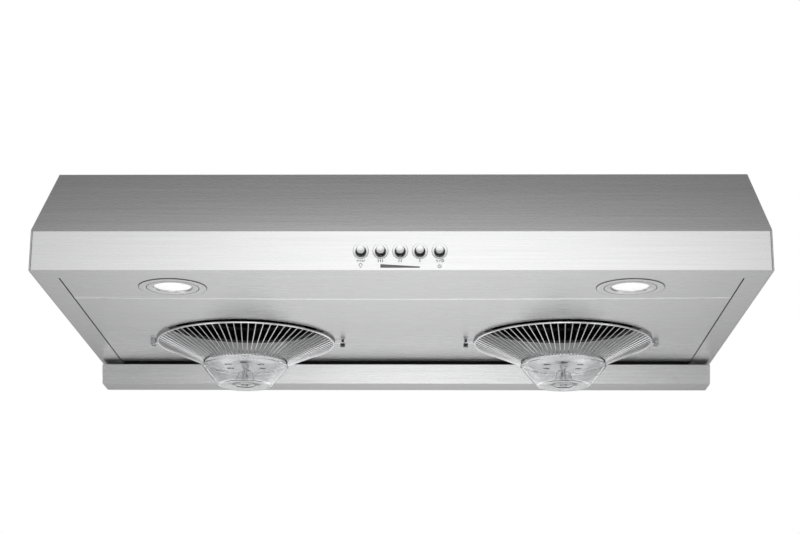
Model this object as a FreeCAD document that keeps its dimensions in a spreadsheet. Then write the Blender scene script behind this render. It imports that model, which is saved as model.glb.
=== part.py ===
# Under cabinet range hood, 30 inch class, as an assembly of separate pieces.
#
# Row frame: +X to the right, +Y from the fascia towards the wall, +Z up. The origin is the centre of the
# cabinet screw pattern, on the outer face of the top cover. The pieces are laid out with three plain
# directions instead: "across" (X), "back" (how far behind the fascia) and "up" (how far above the underside).
import FreeCAD, Part
import math
import os
import re

import Sketcher

PARTS_FOLDER = "parts"

SIZES = (
    # The casing
    ("hood_width", 756), ("hood_depth", 470), ("body_height", 143), ("gauge", 1),
    ("fascia_height", 41), ("slope_angle", 39.9), ("corner_radius", 3), ("return_depth", 8),
    ("front_setback", 290), ("skin_gap", 0.1),
    # The underside
    ("flange_width", 24), ("slit_width", 1.4), ("slit_start", 31), ("seam_back", 108.5), ("seam_bow", 8.5),
    ("seam_gap", 0.5), ("lap_length", 12), ("deck_end", 424), ("deck_bend", 4), ("stiffener_height", 12),
    ("rail_start", 434), ("lap_inset", 20), ("rivet_across", 320), ("rivet_back", 115.5), ("rivet_radius", 2),
    ("rivet_head", 0.6),
    # Cabinet screws
    ("screw_spacing_across", 609.6), ("screw_spacing_back", 228.6), ("slot_width", 6.5), ("slot_length", 14),
    # Lamps
    ("lamp_across", 240), ("lamp_back", 68), ("lamp_radius", 36), ("lamp_step_radius", 27.2),
    ("lamp_rim_taper", 1.2), ("lamp_rim_drop", 1.6), ("lamp_dish_step", 0.6), ("lens_margin", 0.4),
    ("lens_radius", 19.9), ("lens_thickness", 2.5), ("lamp_seat", 4), ("lamp_shoulder", 4),
    ("lamp_can_height", 26),
    # Fans
    ("fan_across", 186.5), ("fan_back", 309.5), ("inlet_radius", 105), ("inlet_throat", 98.5),
    ("inlet_foot", 4),
    ("eye_radius", 86), ("blower_low", 20), ("blower_height", 105), ("volute_radius", 105),
    ("volute_step", 11), ("outlet_low", 62), ("plenum_half_width", 78), ("plenum_start", 292),
    ("plenum_depth", 152),
    ("impeller_radius", 92), ("blade_root_radius", 78), ("cage_sectors", 12), ("sector_blades", 3),
    ("blade_gauge", 1), ("blade_lean", 25), ("impeller_rim", 2), ("impeller_low", 33),
    ("impeller_height", 80), ("web_up", 66), ("web_gauge", 1.5), ("hub_radius", 14), ("hub_low", 48),
    ("shaft_radius", 4), ("shaft_low", 44), ("shaft_length", 60), ("shaft_clearance", 0.06),
    ("motor_radius", 44), ("motor_low", 78), ("motor_flange_radius", 56), ("motor_cap_height", 11),
    ("motor_cap_base", 38), ("motor_cap_top", 34), ("motor_screw_circle", 51), ("motor_screw_radius", 3),
    ("screw_head", 2),
    # Duct
    ("duct_back", 368), ("duct_radius", 75.7), ("duct_height", 45), ("duct_gauge", 1), ("duct_flange", 93),
    ("collar_screw_circle", 85), ("collar_screw_radius", 3.5),
    ("rod_up", 158), ("rod_radius", 2), ("flap_radius", 72.4), ("flap_gauge", 0.8),
    ("knuckle_radius", 3.2), ("knuckle_length", 26), ("knuckle_end", 60), ("knuckle_inner", 32),
    ("knuckle_middle", 4), ("knuckle_gap", 3.8), ("knuckle_weld", 1),
    # Grilles and oil cups
    ("grille_radius", 103.4), ("grille_low", 3.4), ("ring_wire", 1.1), ("spoke_wire", 0.6),
    ("inner_ring_wire", 1),
    ("spoke_count", 76), ("spoke_bend_radius", 50), ("spoke_bend_low", 27), ("plate_radius", 44),
    ("plate_rise", 3.2), ("plate_floor_radius", 30), ("plate_slots", 6), ("plate_slot_circle", 22),
    ("plate_slot_length", 8), ("plate_slot_width", 2.4), ("plate_nut_radius", 4), ("plate_nut_height", 2.5),
    ("hinge_across", 109.5), ("thumb_across", 114), ("hinge_wire", 1.2), ("pin_length", 12),
    ("pin_clearance", 0.08),
    ("ear_width", 5.2), ("ear_gauge", 3), ("ear_drop", 3), ("tab_width", 5), ("tab_overhang", 3),
    ("stud_radius", 2.5), ("stud_reach", 8), ("cup_top_radius", 51), ("cup_base_radius", 31), ("cup_low", 55),
    ("cup_high", 29.6), ("cup_wall", 1.5), ("boss_top_radius", 8.3), ("boss_base_radius", 12.3),
    ("boss_high", 37.5),
    # Oil tray
    ("tray_half_width", 376), ("tray_front", 420), ("tray_floor_front", 427), ("tray_rear", 466),
    ("tray_high", 4.4), ("tray_low", 27.3), ("tray_lip", 4), ("clip_width", 16), ("clip_gauge", 1.2),
    ("clip_gap", 0.4), ("clip_drop", 6), ("clip_spacing", 250),
    # Push buttons
    ("button_spacing", 20), ("button_up", 20), ("bezel_radius", 8.1), ("bezel_front_radius", 6.7),
    ("bezel_barrel", 5.8), ("bezel_front", 2), ("cap_radius", 4.4), ("cap_proud", 8.7),
    ("button_clearance", 0.3),
    ("stem_radius", 2.5), ("stem_end", 12), ("switch_front", 4.5), ("switch_depth", 20),
    ("switch_width", 104),
    ("switch_height", 24),
    # Thumbscrews
    ("thumb_radius", 3.1), ("thumb_waist", 2.1), ("thumb_height", 4), ("thumb_stud_radius", 1.5),
    ("thumb_stud_top", 6), ("tab_gauge", 1.2), ("weld_nut_radius", 5), ("weld_nut_height", 4),
    # Electrics
    ("junction_across", -366), ("junction_back", 330), ("junction_up", 70), ("junction_width", 52),
    ("junction_depth", 90), ("junction_cover_lip", 2), ("gland_radius", 11), ("gland_bore", 8),
    ("gland_collar", 14), ("gland_nut", 13), ("gland_nut_height", 6), ("gland_collar_height", 3),
    ("driver_across", -150), ("driver_back", 20), ("driver_length", 60), ("driver_width", 28),
    ("driver_height", 20), ("capacitor_radius", 14), ("capacitor_length", 45), ("capacitor_up", 75),
    ("capacitor_spread", 15), ("wire_radius", 3), ("wire_overlap", 4),
)
BUTTONS = ("lamp", "high", "medium", "low", "power")

document = FreeCAD.newDocument("under_cabinet_range_hood")
sheet = document.addObject("Spreadsheet::Sheet", "Sizes")
for row, (alias, number) in enumerate(SIZES, start=1):
    sheet.set("A%d" % row, str(number))
    sheet.setAlias("A%d" % row, alias)
document.recompute()
size = {alias: float(sheet.get(alias)) for alias, number in SIZES}
WORDS = re.compile(r"\b(" + "|".join(size) + r")\b")
sub_parts = {}


def formula(text):
    """The expression for a formula written with the sheet's plain words."""
    return WORDS.sub(r"Sizes.\1", str(text))


def bind(feature, **formulas):
    """Bind a feature's properties to formulas."""
    for name, text in formulas.items():
        feature.setExpression(name, formula(text))
    return feature


def stand(feature, across, back, up):
    """Bind a feature's place, given across the hood, behind its fascia and above its underside."""
    feature.setExpression("Placement.Base.x", formula(across))
    feature.setExpression("Placement.Base.y", formula("(%s) - front_setback" % back))
    feature.setExpression("Placement.Base.z", formula("(%s) - body_height" % up))
    return feature


def keep(node, feature):
    """Name a finished feature as one sub-part."""
    feature.Label = node
    sub_parts[node] = feature
    return feature


def box(across, back, up, width, depth, height):
    """A box from its lowest corner and its three sizes."""
    feature = document.addObject("Part::Box", "Box")
    bind(feature, Length=width, Width=depth, Height=height)
    return stand(feature, across, back, up)


TURNS = {
    "up": FreeCAD.Rotation(),
    "across": FreeCAD.Rotation(FreeCAD.Vector(0, 1, 0), 90),
    "back": FreeCAD.Rotation(FreeCAD.Vector(1, 0, 0), -90),
}


def rod(across, back, up, radius, length, way="up"):
    """A cylinder from the centre of its first end face."""
    feature = document.addObject("Part::Cylinder", "Rod")
    bind(feature, Radius=radius, Height=length)
    feature.Placement.Rotation = TURNS[way]
    return stand(feature, across, back, up)


def cone(across, back, up, low_radius, high_radius, length, way="up"):
    """A cone or taper from the centre of its first end face."""
    feature = document.addObject("Part::Cone", "Taper")
    bind(feature, Radius1=low_radius, Radius2=high_radius, Height=length)
    feature.Placement.Rotation = TURNS[way]
    return stand(feature, across, back, up)


def join(*pieces):
    """Pieces fused into one solid."""
    if len(pieces) == 1:
        return pieces[0]
    feature = document.addObject("Part::MultiFuse", "Joined")
    feature.Shapes = list(pieces)
    return feature


def cut(base, *tools):
    """A base with tools taken away."""
    feature = document.addObject("Part::Cut", "Trimmed")
    feature.Base = base
    feature.Tool = join(*tools)
    return feature


def shared(one, other):
    """What two pieces have in common."""
    feature = document.addObject("Part::Common", "Shared")
    feature.Base = one
    feature.Tool = other
    return feature


def group(*pieces):
    """Separate solids that share one node."""
    feature = document.addObject("Part::Compound", "Group")
    feature.Links = list(pieces)
    return feature


def mirrored(source):
    """The mirror image of a left-hand piece, on the right."""
    feature = document.addObject("Part::Mirroring", "Mirrored")
    feature.Source = source
    feature.Normal = FreeCAD.Vector(1, 0, 0)
    return feature


def tube(across, back, up, outer, inner, length, way="up"):
    """A plain ring or pipe."""
    return cut(rod(across, back, up, outer, length, way), rod(across, back, up, inner, length, way))


def section(points, start, width):
    """A prism across the hood from an outline of (back, up) corners, each bound to its own formulas."""
    body = document.addObject("PartDesign::Body", "Section")
    plane = [item for item in body.Origin.OriginFeatures if item.Role == "YZ_Plane"][0]
    sketch = body.newObject("Sketcher::SketchObject", "Outline")
    sketch.AttachmentSupport = [(plane, "")]
    sketch.MapMode = "FlatFace"
    guesses = [(size_of(back), size_of(up)) for back, up in points]
    for here, there in zip(guesses, guesses[1:] + guesses[:1]):
        sketch.addGeometry(Part.LineSegment(FreeCAD.Vector(*here, 0), FreeCAD.Vector(*there, 0)))
    for edge in range(len(points)):
        following = (edge + 1) % len(points)
        sketch.addConstraint(Sketcher.Constraint("Coincident", edge, 2, following, 1))
    for edge, corner in enumerate(points):
        for kind, text in zip(("DistanceX", "DistanceY"), corner):
            datum = sketch.addConstraint(Sketcher.Constraint(kind, -1, 1, edge, 1, size_of(text)))
            sketch.setExpression("Constraints[%d]" % datum, formula(text))
    pad = body.newObject("PartDesign::Pad", "Width")
    pad.Profile = sketch
    bind(pad, Length=width)
    return stand(body, start, "0", "0")


def size_of(text):
    """The number that a formula comes to now, for a sketch's first guess."""
    sheet.set("B1", "=" + WORDS.sub(lambda word: repr(size[word.group()]), str(text)))
    document.recompute([sheet])
    value = sheet.get("B1")
    return float(getattr(value, "Value", value))


# The casing -----------------------------------------------------------------------------------------------

SLOPE_RUN = "(body_height - fascia_height) / tan(slope_angle)"
COVER_EDGE = "fascia_height - gauge / cos(slope_angle)"
INNER_FOLD = "%s + gauge * tan(slope_angle / 2)" % SLOPE_RUN


def rounded_plan(inset):
    """A tall block with the casing's plan outline, rounded at its two front corners and set in by inset."""
    half = "(hood_width / 2 - (%s))" % inset
    radius = "(corner_radius - (%s))" % inset
    wide = box("-%s" % half, "(%s) + %s" % (inset, radius), "-1", "2 * %s" % half, "hood_depth",
               "body_height + 2")
    narrow = box("-%s + %s" % (half, radius), inset, "-1", "2 * (%s - %s)" % (half, radius),
                 "hood_depth / 2", "body_height + 2")
    corners = []
    for side in (-1, 1):
        centre = "%d * (%s - %s)" % (side, half, radius)
        corners.append(rod(centre, "(%s) + %s" % (inset, radius), "-1", radius, "body_height + 2"))
    return join(wide, narrow, *corners)


def make_casing():
    cover = section([("0", "fascia_height"), (SLOPE_RUN, "body_height"), ("hood_depth", "body_height"),
                     ("hood_depth", "body_height - gauge"), (INNER_FOLD, "body_height - gauge"),
                     ("0", COVER_EDGE)], "-hood_width / 2", "hood_width")
    openings = [rod("0", "duct_back", "body_height - 2 * gauge", "duct_radius - 2 * duct_gauge", "4 * gauge")]
    for side in (-1, 1):
        for end in (-1, 1):
            across = "%d * screw_spacing_across / 2" % side
            back = "front_setback + %d * screw_spacing_back / 2" % end
            low = "body_height - 2 * gauge"
            straight = "(slot_length - slot_width)"
            openings.append(box("%s - %s / 2" % (across, straight), "%s - slot_width / 2" % back, low,
                                straight, "slot_width", "4 * gauge"))
            for tip in (-1, 1):
                openings.append(rod("%s + %d * %s / 2" % (across, tip, straight), back, low,
                                    "slot_width / 2", "4 * gauge"))
    openings.append(rod("junction_across + junction_width / 2", "junction_back + junction_depth / 2",
                        "body_height - 2 * gauge", "gland_radius", "4 * gauge"))
    keep("top_cover", cut(shared(cover, rounded_plan("0")), *openings))

    under_cover = section([("0", "0"), ("0", COVER_EDGE), (INNER_FOLD, "body_height - gauge"),
                           ("hood_depth", "body_height - gauge"), ("hood_depth", "0")],
                          "-hood_width / 2", "hood_width")
    wrap = cut(rounded_plan("0"), rounded_plan("gauge"))
    front = box("-hood_width / 2", "0", "0", "hood_width", "return_depth", "body_height")
    button_holes = [rod("%d * button_spacing" % place, "-gauge", "button_up", "bezel_barrel", "3 * gauge",
                        "back")
                    for place in range(-2, 3)]
    keep("front_fascia", cut(shared(shared(wrap, front), under_cover), *button_holes))

    slope_at_return = "%s + return_depth * tan(slope_angle)" % COVER_EDGE
    side_outline = [("return_depth", "0"), ("return_depth", slope_at_return),
                    (INNER_FOLD, "body_height - gauge"),
                    ("hood_depth", "body_height - gauge"), ("hood_depth", "0")]
    keep("left_side_panel", section(side_outline, "-hood_width / 2", "gauge"))
    keep("right_side_panel", section(side_outline, "hood_width / 2 - gauge", "gauge"))
    keep("back_panel", box("gauge - hood_width / 2", "hood_depth - gauge", "0", "hood_width - 2 * gauge",
                           "gauge", "body_height - gauge"))


SEAM_CIRCLE = "((hood_width / 2) * (hood_width / 2) + seam_bow * seam_bow) / (2 * seam_bow)"
FLANGE_INNER = "(hood_width / 2 - gauge - flange_width)"
DECK_HALF = "(%s - slit_width)" % FLANGE_INNER


def seam_disc(reach, up, height):
    """A huge flat disc whose rear edge is the gently bowed seam between light panel and fan deck."""
    return rod("0", "seam_back + seam_bow + (%s) - (%s)" % (reach, SEAM_CIRCLE), up, SEAM_CIRCLE, height)


def rivet_places():
    return [("%d * rivet_across" % side, "rivet_back + %d * seam_bow / 2" % (1 - abs(side)))
            for side in (-1, 0, 1)]


def make_underside():
    lamp_holes = [rod("%d * lamp_across" % side, "lamp_back", "-gauge", "lamp_step_radius", "4 * gauge")
                  for side in (-1, 1)]
    strip = box("-%s" % DECK_HALF, "slit_start", "0", "2 * %s" % DECK_HALF, "seam_back", "gauge")
    front_strip = shared(rounded_plan("gauge + skin_gap"),
                         box("-hood_width / 2", "0", "0", "hood_width", "slit_start", "gauge"))
    flanges = [box(start, "slit_start", "0", "flange_width - skin_gap", "hood_depth - gauge - slit_start",
                   "gauge")
               for start in ("skin_gap + gauge - hood_width / 2", FLANGE_INNER)]
    lap = box("lap_inset - %s" % DECK_HALF, "seam_back - lap_length", "gauge",
              "2 * (%s - lap_inset)" % DECK_HALF, "2 * lap_length + seam_bow", "gauge")
    rivet_holes = [rod(across, back, "-gauge", "rivet_radius / 2", "4 * gauge")
                   for across, back in rivet_places()]
    panel = join(front_strip, shared(strip, seam_disc("0", "0", "gauge")), lap, *flanges)
    keep("light_panel", cut(panel, *lamp_holes, *rivet_holes))

    deck = cut(box("-%s" % DECK_HALF, "seam_back - lap_length", "0", "2 * %s" % DECK_HALF,
                   "deck_end - seam_back + lap_length - deck_bend", "gauge"),
               seam_disc("seam_gap", "0", "gauge"))
    bend = shared(tube("-%s" % DECK_HALF, "deck_end - deck_bend", "deck_bend", "deck_bend",
                       "deck_bend - gauge", "2 * %s" % DECK_HALF, "across"),
                  box("-%s" % DECK_HALF, "deck_end - deck_bend", "0", "2 * %s" % DECK_HALF, "deck_bend",
                      "deck_bend"))
    upstand = box("-%s" % DECK_HALF, "deck_end - gauge", "deck_bend", "2 * %s" % DECK_HALF, "gauge",
                  "stiffener_height - deck_bend")
    stiffeners = [box(start, "seam_back + 2 * lap_length", "gauge", "gauge",
                      "rail_start - seam_back - 2 * lap_length", "stiffener_height - gauge")
                  for start in ("-%s" % DECK_HALF, "%s - gauge" % DECK_HALF)]
    holes = []
    for side in (-1, 1):
        holes.append(rod("%d * fan_across" % side, "fan_back", "-gauge", "inlet_radius", "4 * gauge"))
        holes.append(rod("%d * (fan_across - thumb_across)" % side, "fan_back", "-gauge",
                         "thumb_stud_radius + button_clearance", "4 * gauge"))
    rivet_holes = [rod(across, back, "-gauge", "rivet_radius / 2", "4 * gauge")
                   for across, back in rivet_places()]
    keep("fan_deck", cut(join(deck, bend, upstand, *stiffeners), *holes, *rivet_holes))

    rail = join(box("-%s" % DECK_HALF, "rail_start", "0", "2 * %s" % DECK_HALF,
                    "hood_depth - gauge - rail_start", "gauge"),
                box("-%s" % DECK_HALF, "rail_start", "gauge", "2 * %s" % DECK_HALF, "gauge",
                    "stiffener_height - gauge"))
    keep("rear_rail", rail)

    rivets = []
    for across, back in rivet_places():
        shank = rod(across, back, "0", "rivet_radius / 2", "2 * gauge")
        rivets.append(join(shank, cone(across, back, "-rivet_head", "rivet_radius / 2", "rivet_radius",
                                       "rivet_head"),
                           rod(across, back, "2 * gauge", "rivet_radius", "rivet_head")))
    keep("panel_rivets", group(*rivets))


def make_lamp(side):
    """A tapering rim with a sloping dish in it, the lens at its bottom and the lamp's can above."""
    across = "%d * lamp_across" % side
    rim = cut(join(cone(across, "lamp_back", "-lamp_rim_drop", "lamp_radius - lamp_rim_taper", "lamp_radius",
                        "lamp_rim_drop"),
                   rod(across, "lamp_back", "0", "lamp_step_radius", "lamp_seat")),
              cone(across, "lamp_back", "-lamp_rim_drop", "lamp_step_radius - lamp_dish_step",
                   "lens_radius + lens_margin", "lamp_rim_drop + lens_margin"),
              rod(across, "lamp_back", "0", "lens_radius", "lamp_seat + gauge"))
    lens = rod(across, "lamp_back", "gauge", "lens_radius", "lens_thickness")
    can = join(rod(across, "lamp_back", "lamp_seat", "lamp_step_radius - gauge", "lamp_shoulder"),
               rod(across, "lamp_back", "lamp_seat + lamp_shoulder", "lens_radius",
                   "lamp_can_height - lamp_seat - lamp_shoulder"))
    return rim, lens, can


def make_lamps():
    for name, side in (("left", -1), ("right", 1)):
        rim, lens, can = make_lamp(side)
        keep("lamp_bezel_" + name, rim)
        keep("lamp_lens_" + name, lens)
        keep("lamp_can_" + name, can)


# Push buttons ---------------------------------------------------------------------------------------------

def make_buttons():
    bezels = []
    sockets = []
    for place, name in enumerate(BUTTONS, start=-2):
        across = "%d * button_spacing" % place
        rim = cone(across, "-bezel_front", "button_up", "bezel_front_radius", "bezel_radius", "bezel_front",
                   "back")
        barrel = rod(across, "0", "button_up", "bezel_barrel", "4 * gauge", "back")
        bore = rod(across, "-bezel_front", "button_up", "cap_radius + button_clearance",
                   "bezel_front + 4 * gauge", "back")
        bezels.append(cut(join(rim, barrel), bore))
        cap = rod(across, "-cap_proud", "button_up", "cap_radius", "cap_proud + gauge", "back")
        stem = rod(across, "gauge", "button_up", "stem_radius", "stem_end - gauge", "back")
        keep("button_" + name, join(cap, stem))
        sockets.append(rod(across, "switch_front", "button_up", "stem_radius + button_clearance",
                           "stem_end", "back"))
    keep("button_bezels", group(*bezels))
    case = box("-switch_width / 2", "switch_front", "button_up - switch_height / 2", "switch_width",
               "switch_depth", "switch_height")
    keep("switch_bank", cut(case, *sockets))


# Blowers --------------------------------------------------------------------------------------------------

def sector(across, back, up, radius, height, start_angle):
    """A quarter of a disc, from its start angle anticlockwise seen from above."""
    feature = document.addObject("Part::Cylinder", "Quarter")
    bind(feature, Radius=radius, Height=height)
    feature.Angle = 90
    feature.Placement.Rotation = FreeCAD.Rotation(FreeCAD.Vector(0, 0, 1), start_angle)
    return stand(feature, across, back, up)


def volute(inset, up, height, mouth):
    """The left scroll's plan form: three growing quarter discs, a filled corner and a straight outlet."""
    radius = "(volute_radius - %s)" % inset
    near = "(volute_step / 2)"
    left = "(-fan_across - %s)" % near
    right = "(-fan_across + %s)" % near
    front = "(fan_back - %s)" % near
    rear = "(fan_back + %s)" % near
    inner_front = sector(left, front, up, radius, height, -90)
    outer_front = sector(left, rear, up, "%s + volute_step" % radius, height, 180)
    outer_rear = sector(right, rear, up, "%s + 2 * volute_step" % radius, height, 90)
    filling = box(left, front, up, radius, "outlet_low + %s - %s" % (near, inset), height)
    outlet = box(right, rear, up, "-(%s) - plenum_half_width + %s" % (right, mouth),
                 "%s + 2 * volute_step" % radius, height)
    tongue = box(right, rear, up, "%s" % near, near, height)
    return join(inner_front, outer_front, outer_rear, filling, outlet, tongue)


def outlet_mask(inset, up, height):
    """The space in front of the outlet that isn't part of the scroll, between its tongue and the plenum."""
    return box("-fan_across + volute_radius - volute_step / 2 - %s" % inset, "fan_back", up,
               "volute_radius", "outlet_low + %s" % inset, height)


def make_blower():
    outer = cut(volute("0", "blower_low", "blower_height", "0"),
                outlet_mask("0", "blower_low", "blower_height"))
    inner = cut(volute("gauge", "blower_low + gauge", "blower_height - 2 * gauge", "gauge"),
                outlet_mask("gauge", "blower_low + gauge", "blower_height - 2 * gauge"))
    eye = rod("-fan_across", "fan_back", "blower_low - gauge", "eye_radius", "3 * gauge")
    motor_hole = rod("-fan_across", "fan_back", "blower_low + blower_height - 2 * gauge",
                     "motor_radius", "3 * gauge")
    housing = cut(outer, inner, eye, motor_hole)
    keep("blower_housing_left", housing)
    keep("blower_housing_right", mirrored(housing))


def make_inlet_ring():
    """A flared mouth from each hole in the fan deck to the scroll's floor, on a flat foot."""
    rise = "blower_low - gauge"
    flare = cone("-fan_across", "fan_back", "gauge", "inlet_radius + gauge", "inlet_throat + gauge", rise)
    foot = rod("-fan_across", "fan_back", "gauge", "inlet_radius + inlet_foot", "gauge")
    hollow = cone("-fan_across", "fan_back", "gauge", "inlet_radius", "inlet_throat", rise)
    ring = cut(join(flare, foot), hollow)
    keep("inlet_ring_left", ring)
    keep("inlet_ring_right", mirrored(ring))


def make_motor():
    top = "(blower_low + blower_height)"
    body = join(rod("-fan_across", "fan_back", "motor_low", "motor_radius", "%s - motor_low" % top),
                rod("-fan_across", "fan_back", top, "motor_flange_radius", "2 * gauge"),
                cone("-fan_across", "fan_back", "%s + 2 * gauge" % top, "motor_cap_base", "motor_cap_top",
                     "motor_cap_height"))
    bore = rod("-fan_across", "fan_back", "motor_low - gauge", "shaft_radius + shaft_clearance",
               "shaft_low + shaft_length - motor_low + 2 * gauge")
    motor = cut(body, bore)
    keep("motor_left", motor)
    keep("motor_right", mirrored(motor))
    shaft = rod("-fan_across", "fan_back", "shaft_low", "shaft_radius", "shaft_length")
    keep("motor_shaft_left", shaft)
    keep("motor_shaft_right", mirrored(shaft))
    screws = []
    for side in (-1, 1):
        for quarter in range(4):
            turn = 45 + 90 * quarter
            across = "%d * fan_across + motor_screw_circle * cos(%d)" % (side, turn)
            back = "fan_back + motor_screw_circle * sin(%d)" % turn
            screws.append(rod(across, back, "%s + 2 * gauge" % top, "motor_screw_radius", "screw_head"))
    keep("motor_screws", group(*screws))


def ring_of_copies(shape, count):
    """Copies of a shape spaced evenly round the Z axis."""
    copies = []
    for number in range(count):
        copy = shape.copy()
        copy.rotate(FreeCAD.Vector(), FreeCAD.Vector(0, 0, 1), 360.0 * number / count)
        copies.append(copy)
    return copies


def make_impeller():
    """A squirrel cage of forward-leaning blades between two rims, and a web with a hub that carries it.

    The cage is built from equal sectors that meet face to face midway between two blades.
    """
    radius = size["impeller_radius"]
    root = size["blade_root_radius"]
    height = size["impeller_height"]
    gauge = size["blade_gauge"]
    rim = size["impeller_rim"]
    middle = (radius + root) / 2
    upward = FreeCAD.Vector(0, 0, 1)
    sectors = int(size["cage_sectors"])
    sector_blades = int(size["sector_blades"])
    span = 360.0 / sectors
    blades = []
    for number in range(sector_blades):
        blade = Part.makeBox(radius - root, gauge, height, FreeCAD.Vector(root, -gauge / 2, 0))
        blade.rotate(FreeCAD.Vector(middle, 0, 0), upward, size["blade_lean"])
        blade.rotate(FreeCAD.Vector(), upward, span * (number + 0.5) / sector_blades)
        blades.append(blade)
    rims = []
    for low in (0, height - rim):
        foot = FreeCAD.Vector(0, 0, low)
        wedge = Part.makeCylinder(radius, rim, foot, upward, span)
        rims.append(wedge.cut(Part.makeCylinder(root, rim, foot)))
    cage = Part.makeCompound(ring_of_copies(rims[0].multiFuse(rims[1:] + blades), sectors))
    web_low = size["web_up"] - size["impeller_low"]
    hub_low = size["hub_low"] - size["impeller_low"]
    web = Part.makeCylinder(middle, size["web_gauge"], FreeCAD.Vector(0, 0, web_low)).cut(cage)
    hub = Part.makeCylinder(size["hub_radius"], web_low - hub_low, FreeCAD.Vector(0, 0, hub_low))
    carrier = web.fuse(hub).cut(Part.makeCylinder(size["shaft_radius"], height))
    for node, shape in (("impeller_", cage), ("impeller_hub_", carrier)):
        feature = document.addObject("Part::Feature", "Impeller")
        feature.Shape = shape
        feature.Placement.Base = FreeCAD.Vector(-size["fan_across"], size["fan_back"] - size["front_setback"],
                                                size["impeller_low"] - size["body_height"])
        keep(node + "left", feature)
        keep(node + "right", mirrored(feature))


# Plenum, duct collar and damper ---------------------------------------------------------------------------

def make_plenum():
    block = box("-plenum_half_width", "plenum_start", "blower_low", "2 * plenum_half_width", "plenum_depth",
                "body_height - gauge - blower_low")
    hollow = box("gauge - plenum_half_width", "plenum_start + gauge", "blower_low + gauge",
                 "2 * plenum_half_width - 2 * gauge", "plenum_depth - 2 * gauge", "body_height")
    windows = [box("%s" % start, "fan_back + outlet_low + gauge", "blower_low + gauge", "3 * gauge",
                   "volute_radius + 2.5 * volute_step - outlet_low - 2 * gauge", "blower_height - 2 * gauge")
               for start in ("-plenum_half_width - gauge", "plenum_half_width - 2 * gauge")]
    keep("plenum_box", cut(block, hollow, *windows))


def make_duct():
    top = "body_height"
    collar = cut(join(rod("0", "duct_back", top, "duct_flange", "gauge"),
                      rod("0", "duct_back", top, "duct_radius", "duct_height")),
                 rod("0", "duct_back", "%s - gauge" % top, "duct_radius - duct_gauge",
                     "duct_height + 3 * gauge"),
                 rod("-duct_radius - gauge", "duct_back", "rod_up", "rod_radius",
                     "2 * duct_radius + 2 * gauge", "across"))
    keep("duct_collar", collar)
    keep("damper_rod", rod("-duct_radius", "duct_back", "rod_up", "rod_radius", "2 * duct_radius", "across"))
    screws = []
    for quarter in range(4):
        turn = 45 + 90 * quarter
        screws.append(rod("collar_screw_circle * cos(%d)" % turn,
                          "duct_back + collar_screw_circle * sin(%d)" % turn,
                          "%s + gauge" % top, "collar_screw_radius", "screw_head"))
    keep("collar_screws", group(*screws))


def make_flap(side, knuckle_starts):
    """A half-disc damper flap: side is -1 for the front one and 1 for the rear one."""
    low = "rod_up - flap_gauge / 2"
    back = "duct_back - flap_radius" if side < 0 else "duct_back + knuckle_gap"
    half = box("-flap_radius", back, low, "2 * flap_radius", "flap_radius - knuckle_gap", "flap_gauge")
    pieces = [shared(rod("0", "duct_back", low, "flap_radius", "flap_gauge"), half)]
    web_back = "duct_back - knuckle_gap - knuckle_weld" if side < 0 else "duct_back"
    for start in knuckle_starts:
        pieces.append(box(start, web_back, low, "knuckle_length", "knuckle_gap + knuckle_weld", "flap_gauge"))
        pieces.append(rod(start, "duct_back", "rod_up", "knuckle_radius", "knuckle_length", "across"))
    bore = rod("-flap_radius", "duct_back", "rod_up", "rod_radius + shaft_clearance", "2 * flap_radius",
               "across")
    return cut(join(*pieces), bore)


def make_damper():
    keep("damper_flap_front", make_flap(-1, ("-knuckle_end", "knuckle_middle")))
    keep("damper_flap_rear", make_flap(1, ("-knuckle_inner", "knuckle_end - knuckle_length")))


# Grilles and oil cups -------------------------------------------------------------------------------------

def bent_spoke():
    """One spoke of square wire along +X: down the cone from the outer ring, then level to the inner ring."""
    half = size["spoke_wire"]
    low = size["grille_low"] - size["spoke_bend_low"]
    run = size["grille_radius"] - size["spoke_bend_radius"]
    slope = math.atan2(-low, run)
    lift = half / math.cos(slope)
    turn_in = half * math.tan(slope / 2)
    corners = ((size["grille_radius"], lift), (size["spoke_bend_radius"] - turn_in, low + half),
               (size["plate_radius"], low + half), (size["plate_radius"], low - half),
               (size["spoke_bend_radius"] + turn_in, low - half), (size["grille_radius"], -lift))
    points = [FreeCAD.Vector(out, -half, up) for out, up in corners]
    outline = Part.Face(Part.makePolygon(points + points[:1]))
    return outline.extrude(FreeCAD.Vector(0, 2 * half, 0))


def flat_ring(radius, half_section, up):
    """A ring of square section about the Z axis."""
    low = FreeCAD.Vector(0, 0, up - half_section)
    outer = Part.makeCylinder(radius + half_section, 2 * half_section, low)
    return outer.cut(Part.makeCylinder(radius - half_section, 2 * half_section, low))


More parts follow.
